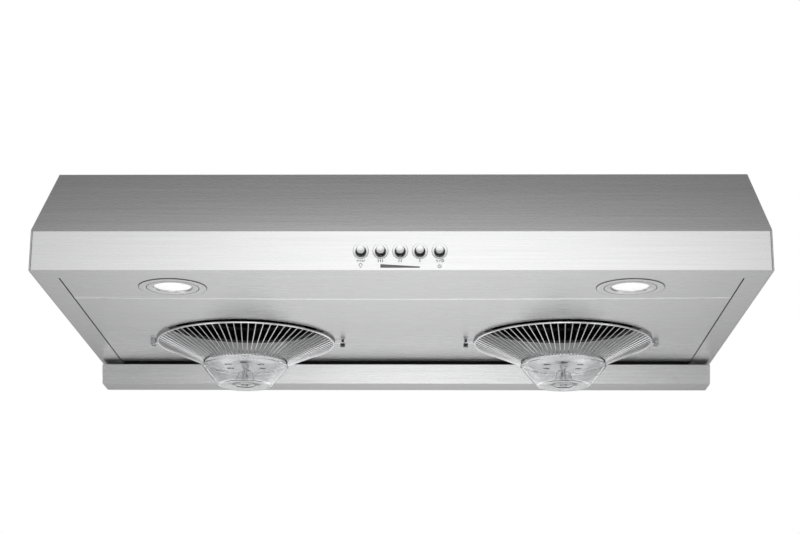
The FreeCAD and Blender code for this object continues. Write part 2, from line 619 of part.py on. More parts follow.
def make_grilles():
    """A wire cone with a hinge arm and pin on its outer side and a flat tab on its inner side."""
    radius = size["grille_radius"]
    hinge = size["hinge_across"]
    gauge = size["tab_gauge"]
    drop = size["spoke_bend_low"] - size["grille_low"]
    spokes = ring_of_copies(bent_spoke(), int(size["spoke_count"]))
    for spoke in spokes:
        spoke.rotate(FreeCAD.Vector(), FreeCAD.Vector(0, 0, 1), 180.0 / size["spoke_count"])
    outer_ring = flat_ring(radius, size["ring_wire"], 0)
    inner_ring = flat_ring(size["plate_radius"], size["inner_ring_wire"], -drop)
    arm = Part.makeCylinder(size["hinge_wire"], hinge - radius, FreeCAD.Vector(-radius, 0, 0),
                            FreeCAD.Vector(-1, 0, 0))
    pin_length = size["pin_length"]
    pin = Part.makeCylinder(size["hinge_wire"], pin_length, FreeCAD.Vector(-hinge, -pin_length / 2, 0),
                            FreeCAD.Vector(0, 1, 0))
    tab_width = size["tab_width"]
    tab = Part.makeBox(size["thumb_across"] - radius + size["tab_overhang"], tab_width, gauge,
                       FreeCAD.Vector(radius, -tab_width / 2, -gauge / 2))
    hole = Part.makeCylinder(size["thumb_stud_radius"] + size["shaft_clearance"], 2 * gauge,
                             FreeCAD.Vector(size["thumb_across"], 0, -gauge))
    feature = document.addObject("Part::Feature", "Grille")
    feature.Shape = outer_ring.multiFuse(spokes + [inner_ring, arm, pin, tab]).cut(hole)
    feature.Placement.Base = FreeCAD.Vector(-size["fan_across"], size["fan_back"] - size["front_setback"],
                                            -size["grille_low"] - size["body_height"])
    keep("grille_left", feature)
    keep("grille_right", mirrored(feature))


def make_thumbscrew():
    """A waisted knurled head under the grille's tab, and a stud through the tab and the fan deck."""
    across = "-fan_across + thumb_across"
    head_low = "(-grille_low - tab_gauge / 2 - skin_gap - thumb_height)"
    step = "thumb_height / 3"
    pieces = []
    for third, radius in enumerate(("thumb_radius", "thumb_waist", "thumb_radius")):
        pieces.append(rod(across, "fan_back", "%s + %d * %s" % (head_low, third, step), radius, step))
    pieces.append(rod(across, "fan_back", head_low, "thumb_stud_radius", "thumb_stud_top - %s" % head_low))
    thumbscrew = join(*pieces)
    keep("thumbscrew_left", thumbscrew)
    keep("thumbscrew_right", mirrored(thumbscrew))
    nuts = [tube("%d * (fan_across - thumb_across)" % side, "fan_back", "gauge", "weld_nut_radius",
                 "thumb_stud_radius + button_clearance", "weld_nut_height") for side in (-1, 1)]
    keep("weld_nuts", group(*nuts))


def make_hinge_brackets():
    """Two ears on each side of the grille's arm, with a hole for its pin."""
    brackets = []
    for side in (-1, 1):
        centre = "%d * (fan_across + hinge_across)" % side
        ears = []
        for start in ("fan_back - pin_length / 2", "fan_back + pin_length / 2 - ear_gauge"):
            ears.append(box("%s - ear_width / 2" % centre, start, "-grille_low - ear_drop", "ear_width",
                            "ear_gauge", "grille_low + ear_drop"))
        bore = rod(centre, "fan_back - pin_length", "-grille_low", "hinge_wire + pin_clearance",
                   "2 * pin_length", "back")
        brackets.append(cut(join(*ears), bore))
    keep("grille_hinge_brackets", group(*brackets))


def make_cup_plate():
    """The slotted dish at the middle of each grille, with the stud that the oil cup pushes on to."""
    top = "(-spoke_bend_low - inner_ring_wire)"
    floor = "(%s - plate_rise)" % top
    dish = cut(cone("-fan_across", "fan_back", floor, "plate_floor_radius", "plate_radius", "plate_rise"),
               cone("-fan_across", "fan_back", "%s + gauge" % floor, "plate_floor_radius - gauge",
                    "plate_radius - gauge", "plate_rise"))
    slots = []
    slot_count = int(size["plate_slots"])
    for number in range(slot_count):
        turn = 360.0 * (number + 0.5) / slot_count
        slots.append(box("-fan_across + plate_slot_circle * cos(%s) - plate_slot_length / 2" % turn,
                         "fan_back + plate_slot_circle * sin(%s) - plate_slot_width / 2" % turn,
                         "%s - gauge" % floor, "plate_slot_length", "plate_slot_width", "4 * gauge"))
    stud = rod("-fan_across", "fan_back", "-boss_high - stud_reach", "stud_radius",
               "boss_high + stud_reach - spoke_bend_low")
    nut = rod("-fan_across", "fan_back", "%s - plate_nut_height" % floor, "plate_nut_radius",
              "plate_nut_height")
    plate = join(cut(dish, *slots), stud, nut)
    keep("grille_plate_left", plate)
    keep("grille_plate_right", mirrored(plate))


def make_oil_cup():
    outer = cone("-fan_across", "fan_back", "-cup_low", "cup_base_radius", "cup_top_radius",
                 "cup_low - cup_high")
    inner = cone("-fan_across", "fan_back", "cup_wall - cup_low", "cup_base_radius - cup_wall / 2",
                 "cup_top_radius - cup_wall", "cup_low - cup_high")
    boss = cone("-fan_across", "fan_back", "-cup_low", "boss_base_radius", "boss_top_radius",
                "cup_low - boss_high")
    core = cone("-fan_across", "fan_back", "-cup_low", "boss_base_radius - cup_wall",
                "boss_top_radius - cup_wall", "cup_low - boss_high - cup_wall")
    bore = rod("-fan_across", "fan_back", "-cup_low", "stud_radius + button_clearance",
               "cup_low - boss_high + gauge")
    cup = cut(join(cut(outer, inner), boss), core, bore)
    keep("oil_cup_left", cup)
    keep("oil_cup_right", mirrored(cup))


# Oil tray -------------------------------------------------------------------------------------------------

def make_oil_tray():
    outside = section([("tray_front", "-tray_high"), ("tray_floor_front", "-tray_low"),
                       ("tray_rear", "-tray_low"),
                       ("tray_rear", "-tray_high")], "-tray_half_width", "2 * tray_half_width")
    hollow = section([("tray_front + gauge", "gauge - tray_high"),
                      ("tray_floor_front + gauge", "gauge - tray_low"),
                      ("tray_rear - gauge", "gauge - tray_low"), ("tray_rear - gauge", "gauge - tray_high")],
                     "gauge - tray_half_width", "2 * (tray_half_width - gauge)")
    lip = box("-tray_half_width", "tray_rear - tray_lip", "-tray_high - gauge", "2 * tray_half_width",
              "tray_lip", "gauge")
    keep("oil_tray", join(cut(outside, hollow), lip))
    clips = [box("%d * clip_spacing - clip_width / 2" % place, "tray_rear - tray_lip - clip_gap - clip_gauge",
                 "-tray_high - clip_drop", "clip_width", "clip_gauge", "tray_high + clip_drop")
             for place in (-1, 0, 1)]
    keep("tray_clips", group(*clips))


# Wiring ---------------------------------------------------------------------------------------------------

def wire_run(points):
    """A loom of wires through (across, back, up) points, as straight runs with mitred corners."""
    radius = size["wire_radius"]
    corners = [FreeCAD.Vector(across, back - size["front_setback"], up - size["body_height"])
               for across, back, up in points]
    pieces = [Part.makeCylinder(radius, (end - start).Length, start, end - start)
              for start, end in zip(corners, corners[1:])]
    pieces += [Part.makeSphere(radius, corner) for corner in corners[1:-1]]
    return pieces[0].multiFuse(pieces[1:])


def make_electrics():
    junction = cut(box("junction_across", "junction_back", "junction_up", "junction_width", "junction_depth",
                       "body_height - gauge - junction_up"),
                   box("junction_across + gauge", "junction_back + gauge", "junction_up - gauge",
                       "junction_width - 2 * gauge", "junction_depth - 2 * gauge",
                       "body_height - junction_up"))
    keep("junction_box", junction)
    keep("junction_cover", box("junction_across - junction_cover_lip", "junction_back - junction_cover_lip",
                               "junction_up - gauge", "junction_width + 2 * junction_cover_lip",
                               "junction_depth + 2 * junction_cover_lip", "gauge"))
    across = "junction_across + junction_width / 2"
    back = "junction_back + junction_depth / 2"
    nut_low = "body_height - gauge - gland_nut_height"
    gland = cut(join(rod(across, back, "body_height - gauge", "gland_radius", "gauge"),
                     rod(across, back, "body_height", "gland_collar", "gland_collar_height"),
                     rod(across, back, nut_low, "gland_nut", "gland_nut_height")),
                rod(across, back, "%s - gauge" % nut_low, "gland_bore",
                    "gland_nut_height + 4 * gland_collar_height"))
    keep("cable_gland", gland)
    keep("led_driver", box("driver_across", "driver_back", "gauge", "driver_length", "driver_width",
                           "driver_height"))
    cans = [rod(start, "plenum_start - capacitor_radius", "capacitor_up", "capacitor_radius",
                "capacitor_length",
                "across") for start in ("-capacitor_spread - capacitor_length", "capacitor_spread")]
    keep("motor_capacitors", group(*cans))
    keep("wiring_harness", make_harness())


def make_harness():
    """The looms to the switches, lamps, capacitors and motors, as (across, back, up) runs."""
    can_end = size["capacitor_spread"] + size["capacitor_length"]
    can_back = size["plenum_start"] - size["capacitor_radius"]
    switch_end = -size["switch_width"] / 2
    driver_start = size["driver_across"]
    driver_end = driver_start + size["driver_length"]
    motor_end = size["fan_across"] - size["motor_radius"] + size["wire_overlap"]
    lamp_start = size["lamp_across"] - size["lamp_step_radius"] + size["wire_overlap"]
    looms = [
        wire_run(((0, 24.5, 20), (0, 60, 20), (0, 110, 60), (0, 170, 65), (-325, 170, 80), (-340, 250, 100),
                  (-340, size["junction_back"], 100))),
        wire_run(((switch_end, 14, 20), (-72, 14, 20), (-72, 34, 11), (driver_end, 34, 11))),
        wire_run(((driver_start, 34, 11), (-160, 34, 11), (-200, 46, 14), (-lamp_start, 58, 14))),
        wire_run(((driver_end, 42, 11), (-82, 42, 11), (-70, 62, 11), (200, 62, 11), (lamp_start, 63, 14))),
    ]
    for side in (-1, 1):
        looms.append(wire_run(((can_end * side, can_back, 75), (70 * side, can_back, 75),
                               (72 * side, can_back, 132),
                               (motor_end * side, 300, 132))))
    harness = document.addObject("Part::Feature", "Harness")
    harness.Shape = Part.makeCompound(looms)
    return harness


def check_features():
    """Stop if any feature failed, or if any sub-part is empty or invalid."""
    failed = [feature.Name for feature in document.Objects if {"Invalid", "Error"} & set(feature.State)]
    if failed:
        raise RuntimeError("features that failed: " + ", ".join(failed))
    for node, feature in sub_parts.items():
        if feature.Shape.isNull() or not feature.Shape.isValid():
            raise RuntimeError("sub-part with a bad shape: " + node)


def main():
    make_casing()
    make_underside()
    make_lamps()
    make_buttons()
    make_blower()
    make_inlet_ring()
    make_motor()
    make_impeller()
    make_plenum()
    make_duct()
    make_damper()
    make_grilles()
    make_thumbscrew()
    make_hinge_brackets()
    make_cup_plate()
    make_oil_cup()
    make_oil_tray()
    make_electrics()
    document.recompute()
    check_features()
    os.makedirs(PARTS_FOLDER, exist_ok=True)
    for node, feature in sub_parts.items():
        feature.Shape.exportStep(os.path.join(PARTS_FOLDER, node + ".step"))
    print(len(sub_parts), "sub-parts")


main()
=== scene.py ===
"""The look of an under cabinet range hood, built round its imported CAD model.

Lengths in the tables below are millimetres. Places come from the CAD nodes' own boxes.
"""
import math

import bmesh
import bpy
from mathutils import Matrix, Vector


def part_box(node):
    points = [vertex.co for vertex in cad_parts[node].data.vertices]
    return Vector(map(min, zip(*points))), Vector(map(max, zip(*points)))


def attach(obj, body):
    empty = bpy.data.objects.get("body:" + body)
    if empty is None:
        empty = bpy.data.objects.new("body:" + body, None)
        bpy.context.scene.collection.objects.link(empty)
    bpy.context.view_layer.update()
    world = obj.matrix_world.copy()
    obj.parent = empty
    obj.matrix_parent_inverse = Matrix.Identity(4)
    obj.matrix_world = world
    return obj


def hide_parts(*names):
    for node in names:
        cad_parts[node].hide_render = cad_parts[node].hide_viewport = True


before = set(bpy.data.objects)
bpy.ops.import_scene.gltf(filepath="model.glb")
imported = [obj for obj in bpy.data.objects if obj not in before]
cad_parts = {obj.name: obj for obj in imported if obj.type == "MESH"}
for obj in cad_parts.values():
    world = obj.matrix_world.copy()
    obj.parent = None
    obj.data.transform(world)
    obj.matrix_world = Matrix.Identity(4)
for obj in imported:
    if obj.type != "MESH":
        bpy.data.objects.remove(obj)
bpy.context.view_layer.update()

MM = 0.001
SIDES = (("left", -1), ("right", 1))
BUTTONS = ("lamp", "high", "medium", "low", "power")
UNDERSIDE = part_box("fan_deck")[0].z
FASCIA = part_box("front_fascia")[0].y
UP = Vector((0, 0, 1))
ACROSS = Vector((1, 0, 0))
BACK = Vector((0, 1, 0))


def middle(node):
    """The middle of a CAD node's box."""
    low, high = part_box(node)
    return (low + high) / 2


def middle_at(node, height):
    """The middle of a CAD node's box seen from above, at a height in metres."""
    low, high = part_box(node)
    return Vector(((low.x + high.x) / 2, (low.y + high.y) / 2, height))


def foot(node):
    """The middle of the lowest face of a CAD node's box."""
    return middle_at(node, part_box(node)[0].z)


def tall(node):
    """A CAD node's height in millimetres."""
    low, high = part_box(node)
    return (high.z - low.z) / MM


# Materials ------------------------------------------------------------------------------------------------

def new_material(name, **values):
    """A Principled material with those socket values. An underscore stands for a space in a socket's name."""
    material = bpy.data.materials.new(name)
    material.use_nodes = True
    shader = material.node_tree.nodes["Principled BSDF"]
    for socket, value in values.items():
        shader.inputs[socket.replace("_", " ")].default_value = value
    return material


def add_node(material, kind, settings=(), **inputs):
    """A node, with each input set to a value or linked to another node's output."""
    tree = material.node_tree
    node = tree.nodes.new(kind)
    for name, value in dict(settings).items():
        setattr(node, name, value)
    for name, value in inputs.items():
        socket = node.inputs[name.replace("_", " ")]
        if isinstance(value, bpy.types.NodeSocket):
            tree.links.new(value, socket)
        else:
            socket.default_value = value
    return node


def feed(material, socket, output):
    """Link an output to one of the material's Principled sockets."""
    shader = material.node_tree.nodes["Principled BSDF"]
    material.node_tree.links.new(output, shader.inputs[socket])


def grain(material, stretch, detail=3.0, low=0.0, high=1.0, contrast=(0.3, 0.7)):
    """Noise in the piece's own coordinates, with three scales per metre, as numbers from low to high."""
    place = add_node(material, "ShaderNodeTexCoord")
    scaled = add_node(material, "ShaderNodeMapping", Vector=place.outputs["Object"], Scale=stretch)
    noise = add_node(material, "ShaderNodeTexNoise", Vector=scaled.outputs["Vector"], Scale=1.0,
                     Detail=detail, Roughness=0.6)
    ranged = add_node(material, "ShaderNodeMapRange", Value=noise.outputs["Fac"], From_Min=contrast[0],
                      From_Max=contrast[1], To_Min=low, To_Max=high)
    return ranged.outputs["Result"]


def tint(material, share, dark, light):
    """The base colour mixed from dark to light by a share."""
    mix = add_node(material, "ShaderNodeMix", settings={"data_type": "RGBA"})
    material.node_tree.links.new(share, mix.inputs["Factor"])
    mix.inputs[6].default_value = (*dark, 1)
    mix.inputs[7].default_value = (*light, 1)
    feed(material, "Base Color", mix.outputs[2])


def relief(material, height, strength, depth):
    """Small relief from a height, depth in metres."""
    bump = add_node(material, "ShaderNodeBump", Height=height, Strength=strength, Distance=depth)
    feed(material, "Normal", bump.outputs["Normal"])


def brushed_steel(name, dark, light, rough, anisotropy, stretch=(6.0, 1100.0, 1100.0)):
    """Stainless sheet with fine brushed lines along X, and reflections drawn out across them."""
    material = new_material(name, Metallic=1.0, Anisotropic=anisotropy, Anisotropic_Rotation=0.25)
    lines = grain(material, stretch, detail=4.0)
    tint(material, lines, dark, light)
    feed(material, "Roughness", grain(material, (5.0, 700.0, 700.0), low=rough - 0.015, high=rough + 0.015))
    relief(material, lines, 0.06, 0.00003)
    tangent = add_node(material, "ShaderNodeCombineXYZ", X=1.0)
    feed(material, "Tangent", tangent.outputs["Vector"])
    return material


def polished(name, colour, rough):
    """Bright plated metal with a faint unevenness."""
    material = new_material(name, Metallic=1.0)
    cloud = grain(material, (180.0, 180.0, 180.0))
    tint(material, cloud, tuple(0.94 * part for part in colour), colour)
    feed(material, "Roughness", grain(material, (90.0, 90.0, 90.0), low=0.8 * rough, high=1.2 * rough))
    return material


def painted(name, dark, light, rough, relief_depth=0.00002, **more):
    """Paint or moulded plastic with a fine orange-peel texture."""
    material = new_material(name, **more)
    tint(material, grain(material, (60.0, 60.0, 60.0)), dark, light)
    feed(material, "Roughness", grain(material, (300.0, 300.0, 300.0), low=rough - 0.05, high=rough + 0.05))
    relief(material, grain(material, (900.0, 900.0, 900.0)), 0.3, relief_depth)
    return material


def galvanised_sheet():
    """Zinc-coated sheet with its patchwork of crystal spangles."""
    material = new_material("galvanised", Metallic=1.0)
    place = add_node(material, "ShaderNodeTexCoord")
    cells = add_node(material, "ShaderNodeTexVoronoi", Vector=place.outputs["Object"], Scale=140.0)
    shade = add_node(material, "ShaderNodeSeparateColor", Color=cells.outputs["Color"])
    tint(material, shade.outputs["Red"], (0.42, 0.43, 0.44), (0.60, 0.61, 0.62))
    spread = add_node(material, "ShaderNodeMapRange", Value=shade.outputs["Green"], To_Min=0.30,
                      To_Max=0.48)
    feed(material, "Roughness", spread.outputs["Result"])
    return material


def lit_lens():
    """A glowing lamp cover with a fine square grid of small dots moulded in it."""
    material = new_material("lens", Roughness=0.25, Emission_Strength=0.40)
    dots_per_metre = 430.0
    place = add_node(material, "ShaderNodeTexCoord")
    scaled = add_node(material, "ShaderNodeMapping", Vector=place.outputs["Object"],
                      Scale=(dots_per_metre, dots_per_metre, 0.0))
    cells = add_node(material, "ShaderNodeTexVoronoi", settings={"feature": "F1"},
                     Vector=scaled.outputs["Vector"], Scale=1.0, Randomness=0.0)
    dots = add_node(material, "ShaderNodeMapRange", Value=cells.outputs["Distance"], From_Min=0.16,
                    From_Max=0.42)
    mix = add_node(material, "ShaderNodeMix", settings={"data_type": "RGBA"})
    material.node_tree.links.new(dots.outputs["Result"], mix.inputs["Factor"])
    mix.inputs[6].default_value = (0.52, 0.52, 0.53, 1)
    mix.inputs[7].default_value = (1, 1, 1, 1)
    feed(material, "Base Color", mix.outputs[2])
    feed(material, "Emission Color", mix.outputs[2])
    relief(material, dots.outputs["Result"], 0.4, 0.0002)
    return material


def clear_moulding():
    """Clear plastic with the faintest waviness from its mould."""
    material = new_material("clear_plastic", Base_Color=(0.97, 0.975, 0.98, 1), Transmission_Weight=0.96,
                            IOR=1.46)
    feed(material, "Roughness", grain(material, (120.0, 120.0, 120.0), low=0.02, high=0.07))
    relief(material, grain(material, (60.0, 60.0, 200.0)), 0.15, 0.0003)
    return material


def braided_cover():
    """A woven black sleeve over the loom of wires."""
    material = new_material("wire_cover", Roughness=0.7)
    place = add_node(material, "ShaderNodeTexCoord")
    waves = []
    for slant in (0.6, -0.6):
        slanted = add_node(material, "ShaderNodeMapping", Vector=place.outputs["Object"],
                           Rotation=(slant, slant, slant))
        waves.append(add_node(material, "ShaderNodeTexWave", Vector=slanted.outputs["Vector"], Scale=260.0))
    product = add_node(material, "ShaderNodeMath", settings={"operation": "MULTIPLY"})
    for index, wave in enumerate(waves):
        material.node_tree.links.new(wave.outputs["Fac"], product.inputs[index])
    tint(material, product.outputs["Value"], (0.015, 0.015, 0.015), (0.09, 0.09, 0.09))
    relief(material, product.outputs["Value"], 0.6, 0.0003)
    return material


MATERIALS = {
    "stainless": brushed_steel("stainless", (0.585, 0.585, 0.59), (0.65, 0.65, 0.655), 0.27, 0.65),
    "underside": brushed_steel("underside", (0.605, 0.605, 0.61), (0.635, 0.635, 0.64), 0.27, 0.65),
    "lamp_steel": brushed_steel("lamp_steel", (0.58, 0.58, 0.585), (0.64, 0.64, 0.645), 0.22, 0.3),
    "collar_steel": brushed_steel("collar_steel", (0.70, 0.70, 0.705), (0.78, 0.78, 0.785), 0.48, 0.2),
    # Near-black painted shade: the rear rail in its gap, and the lamp rings' rims and grooves.
    "painted_shade_black": painted("painted_shade_black", (0.02, 0.02, 0.02), (0.03, 0.03, 0.03), 0.5),
    "chrome": polished("chrome", (0.86, 0.86, 0.87), 0.10),
    "cap_face": polished("cap_face", (0.50, 0.50, 0.505), 0.18),
    # Dark chrome: the thumbscrew's finish, and painted shade on the sides of the button caps and rings.
    "dark_chrome_and_shade": polished("dark_chrome_and_shade", (0.13, 0.13, 0.133), 0.20),
    "wire_chrome": polished("wire_chrome", (0.92, 0.92, 0.93), 0.18),
    "dish": polished("dish", (0.74, 0.74, 0.75), 0.30),
    "galvanised": galvanised_sheet(),
    # Near-black: the blower's paint, darkened further to stand in for the deep shade inside it, and painted
    # shade for the dish slots.
    "black_paint": painted("black_paint", (0.004, 0.004, 0.004), (0.008, 0.008, 0.008), 0.65),
    "motor_case": painted("motor_case", (0.05, 0.05, 0.055), (0.08, 0.08, 0.085), 0.40, Metallic=0.6),
    "black_plastic": painted("black_plastic", (0.02, 0.02, 0.02), (0.035, 0.035, 0.035), 0.50),
    "white_plastic": painted("white_plastic", (0.70, 0.70, 0.69), (0.78, 0.78, 0.77), 0.45),
    "aluminium_can": brushed_steel("aluminium_can", (0.70, 0.71, 0.72), (0.80, 0.81, 0.82), 0.35, 0.3),
    "ink": painted("ink", (0.11, 0.11, 0.112), (0.15, 0.15, 0.152), 0.55, relief_depth=0.000005),
    "lens": lit_lens(),
    "clear_plastic": clear_moulding(),
    "wire_cover": braided_cover(),
}


# Carried-over CAD nodes -----------------------------------------------------------------------------------

def dress(node, material, edge=0.0):
    """Give a CAD node its material and, where edge is set, soft edges of that many millimetres."""
    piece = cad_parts[node]
    piece.data.materials.clear()
    piece.data.materials.append(MATERIALS[material])
    if edge:
        weld = piece.modifiers.new("weld", "WELD")
        weld.merge_threshold = 0.01 * MM
        bevel = piece.modifiers.new("soft_edges", "BEVEL")
        bevel.width = edge * MM
        bevel.segments = 2
        bevel.limit_method = "ANGLE"
        bevel.angle_limit = math.radians(35)
        bevel.harden_normals = True
        bevel.use_clamp_overlap = True


def dress_nodes():
    for node in ("top_cover", "front_fascia", "left_side_panel", "right_side_panel", "back_panel"):
        dress(node, "stainless")
    for node in ("light_panel", "fan_deck"):
        dress(node, "underside", 0.25)
    # The rear rail is painted near-black as shade, so the gap behind the fan deck reads dark.
    dress("rear_rail", "painted_shade_black", 0.25)
    dress("oil_tray", "stainless", 0.25)
    for name, side in SIDES:
        dress("lamp_can_" + name, "white_plastic", 0.4)
        # The blower housings are near-black, partly standing in for the shade inside them.
        dress("blower_housing_" + name, "black_paint")
        dress("inlet_ring_" + name, "collar_steel")
        dress("motor_" + name, "motor_case")
        dress("motor_shaft_" + name, "chrome")
    for node in ("weld_nuts", "grille_hinge_brackets", "tray_clips", "junction_box", "junction_cover",
                 "collar_screws", "motor_screws"):
        dress(node, "galvanised", 0.2)
    for node in ("plenum_box", "damper_flap_front", "damper_flap_rear"):
        dress(node, "galvanised", 0.2)
    dress("damper_rod", "chrome")
    dress("switch_bank", "black_plastic", 0.4)
    dress("led_driver", "white_plastic", 0.8)
    dress("cable_gland", "black_plastic", 0.4)
    dress("motor_capacitors", "aluminium_can", 0.5)
    dress("wiring_harness", "wire_cover")


# Mesh making ----------------------------------------------------------------------------------------------

def finish_piece(name, mesh, material, body, stands_for=()):
    """A finished bmesh as a smooth-shaded piece that rides on a body."""
    bmesh.ops.recalc_face_normals(mesh, faces=mesh.faces)
    data = bpy.data.meshes.new(name)
    mesh.to_mesh(data)
    mesh.free()
    data.polygons.foreach_set("use_smooth", [True] * len(data.polygons))
    data.set_sharp_from_angle(angle=math.radians(38))
    data.materials.append(MATERIALS[material])
    piece = bpy.data.objects.new(name, data)
    bpy.context.scene.collection.objects.link(piece)
    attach(piece, body)
    if stands_for:
        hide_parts(*stands_for)
    return piece


def paint_faces(piece, material, chosen):
    """Give a second material to the faces that chosen picks."""
    piece.data.materials.append(MATERIALS[material])
    for face in piece.data.polygons:
        if chosen(face):
            face.material_index = 1


def faces_sideways(face):
    """Whether a face of a piece on the fascia looks across it and not out of it; such faces get painted
    shade.
    """
    return abs(face.normal.y) < 0.3


def softened(profile, radius, closed=True, steps=3):
    """An outline of (radius, height) corners with each corner rounded, less where its sides are short."""
    points = [Vector(corner) for corner in profile]
    count = len(points)
    rounded = []
    for index, corner in enumerate(points):
        if not closed and index in (0, count - 1):
            rounded.append(corner)
            continue
        before = points[index - 1] - corner
        after = points[(index + 1) % count] - corner
        reach = min(radius, 0.4 * before.length, 0.4 * after.length)
        start = corner + before.normalized() * reach
        end = corner + after.normalized() * reach
        for step in range(steps + 1):
            share = step / steps
            near = start.lerp(corner, share)
            far = corner.lerp(end, share)
            rounded.append(near.lerp(far, share))
    return rounded


def turn(mesh, profile, centre, axis=UP, steps=96, closed=True, ribs=None):
    """Sweep an outline of (radius, height) round an axis. Ribs is (count, depth, lowest, highest)."""
    first = ACROSS
    second = axis.cross(first)
    loops = []
    for step in range(steps):
        angle = 2 * math.pi * step / steps
        outward = first * math.cos(angle) + second * math.sin(angle)
        loop = []
        for radius, height in profile:
            if ribs and ribs[2] <= height <= ribs[3]:
                radius -= ribs[1] * (0.5 - 0.5 * math.cos(ribs[0] * angle))
            loop.append(mesh.verts.new(centre + (outward * radius + axis * height) * MM))
        loops.append(loop)
    count = len(profile)
    spans = count if closed else count - 1
    for step in range(steps):
        here, there = loops[step], loops[(step + 1) % steps]
        for index in range(spans):
            after = (index + 1) % count
            mesh.faces.new((here[index], there[index], there[after], here[after]))
    bmesh.ops.remove_doubles(mesh, verts=mesh.verts, dist=1e-6)


def turned(name, profile, centre, material, body, stands_for=(), axis=UP, steps=96, round_off=0.3,
           closed=True, ribs=None):
    """A turned piece with softened corners. An open outline starts and ends on its axis."""
    mesh = bmesh.new()
    turn(mesh, softened(profile, round_off, closed), centre, axis, steps, closed, ribs)
    return finish_piece(name, mesh, material, body, stands_for)


def wire(mesh, points, radius, across, sides=10, closed=False):
    """A round wire along points in metres. Across is a direction that the wire's path is square to."""
    count = len(points)
    rings = []
    for index, point in enumerate(points):
        before = points[index - 1] if closed or index else point
        after = points[(index + 1) % count] if closed or index < count - 1 else point
        along = (after - before).normalized()
        lift = along.cross(across).normalized()
        ring = []
        for side in range(sides):
            angle = 2 * math.pi * side / sides
            offset = across * math.cos(angle) + lift * math.sin(angle)
            ring.append(mesh.verts.new(point + offset * radius * MM))
        rings.append(ring)
    for index in range(count if closed else count - 1):
        here, there = rings[index], rings[(index + 1) % count]
        for side in range(sides):
            after = (side + 1) % sides
            mesh.faces.new((here[side], here[after], there[after], there[side]))
    if not closed:
        mesh.faces.new(rings[0])
        mesh.faces.new(rings[-1])


def hoop(mesh, centre, radius, thickness, steps=168, sides=12):
    """A ring of round wire that lies level."""
    points = []
    for step in range(steps):
        angle = 2 * math.pi * step / steps
        points.append(centre + Vector((math.cos(angle), math.sin(angle), 0)) * radius * MM)
    wire(mesh, points, thickness, UP, sides, closed=True)


def plate(mesh, outline, along, thickness):
    """A flat plate: an outline of points in metres, thickened along a direction by millimetres."""
    base = [mesh.verts.new(point) for point in outline]
    top = [mesh.verts.new(point + along * thickness * MM) for point in outline]
    mesh.faces.new(base)
    mesh.faces.new(top)
    count = len(outline)
    for index in range(count):
        after = (index + 1) % count
        mesh.faces.new((base[index], base[after], top[after], top[index]))


# Grilles --------------------------------------------------------------------------------------------------

RING_RADIUS = 103.4
RING_WIRE = 1.1
SPOKE_WIRE = 0.58
SPOKES = 76
BEND_RADIUS = 50.0
PLATE_RING = 44.0
DROP = 23.6
RING_DROP = 3.4
PIN_REACH = 109.5
PIN_HALF = 6
PIN_WIRE = 1.15
TAB_REACH = 114.0
TAB_START = 0.4
TAB_HALF = 2.5
TAB_GAUGE = 1.2
SLOT_COUNT = 6
SLOT_CIRCLE = 22
SLOT_HALF_WIDTH = 1.2
SLOT_HALF_STRAIGHT = 2.8
NUT_RADIUS = 4.0


def spoke_path(centre, angle):
    """One spoke's line: down the cone, round a small bend and level to the inner ring."""
    corners = [(RING_RADIUS, 0.0), (BEND_RADIUS, -DROP), (PLATE_RING, -DROP)]
    outward = Vector((math.cos(angle), math.sin(angle), 0))
    return [centre + (outward * radius + UP * height) * MM
            for radius, height in softened(corners, 4.0, closed=False, steps=5)]


def make_grille(name, side):
    """The chrome wire cone with its rings, hinge pin and fixing tab."""
    centre = middle_at("oil_cup_" + name, UNDERSIDE - RING_DROP * MM)
    mesh = bmesh.new()
    hoop(mesh, centre, RING_RADIUS, RING_WIRE)
    hoop(mesh, centre - UP * DROP * MM, PLATE_RING, 1.0, steps=120)
    for number in range(SPOKES):
        angle = 2 * math.pi * (number + 0.5) / SPOKES
        outward = Vector((math.cos(angle), math.sin(angle), 0))
        wire(mesh, spoke_path(centre, angle), SPOKE_WIRE, UP.cross(outward), sides=8)
    out = ACROSS * side
    pin_middle = centre + out * PIN_REACH * MM
    wire(mesh, [centre + out * (RING_RADIUS + 0.5) * MM, pin_middle], PIN_WIRE, BACK)
    wire(mesh, [pin_middle - BACK * PIN_HALF * MM, pin_middle + BACK * PIN_HALF * MM], PIN_WIRE, UP)
    tab = [(RING_RADIUS + TAB_START, -TAB_HALF), (RING_RADIUS + TAB_START, TAB_HALF)]
    for step in range(11):
        angle = math.pi * step / 10
        tab.append((TAB_REACH + TAB_HALF * math.sin(angle), TAB_HALF * math.cos(angle)))
    lowest = centre - UP * TAB_GAUGE / 2 * MM
    points = [lowest - out * reach * MM + BACK * half * MM for reach, half in tab]
    plate(mesh, points, UP, TAB_GAUGE)
    return finish_piece("wire_grille_" + name, mesh, "wire_chrome", "grille_" + name,
                        ["grille_" + name])


